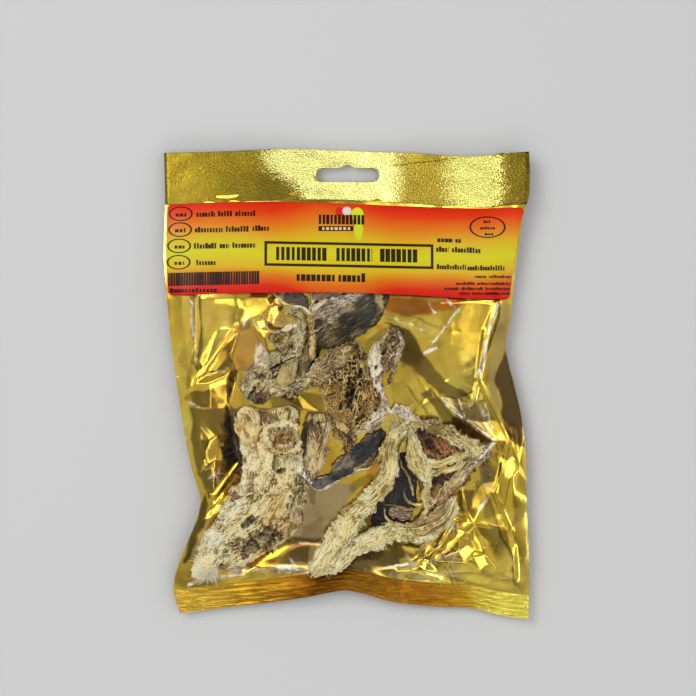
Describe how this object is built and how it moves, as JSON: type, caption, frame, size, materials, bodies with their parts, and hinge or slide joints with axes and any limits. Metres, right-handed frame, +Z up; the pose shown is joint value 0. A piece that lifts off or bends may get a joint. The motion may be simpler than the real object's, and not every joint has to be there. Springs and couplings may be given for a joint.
{
  "type": "sealed bag of dried stockfish",
  "caption": "Clear-fronted food bag with a gold film back, printed label and hanging header, filled with dried cod pieces.",
  "frame": {"origin": "middle of the bag's outline, on the surface it lies on", "axes": "+Y from the bottom seal to the hanging header, +X to the right of someone who reads the front, +Z up out of the clear front"},
  "size_m": [0.1885, 0.243, 0.0237],
  "materials": {
    "gold_film": "metallised gold film, glossy and crumpled, embossed satin on the header",
    "clear_film": "clear glossy film over straw-coloured dried fish",
    "label_print": null,
    "dried_fish": "dry, spongy and fibrous, straw to brown, with grey-black skin"
  },
  "bodies": {
    "root": {"gold_back": "gold_film", "clear_pouch": "clear_film", "label": "label_print"}
  },
  "joints": []
}
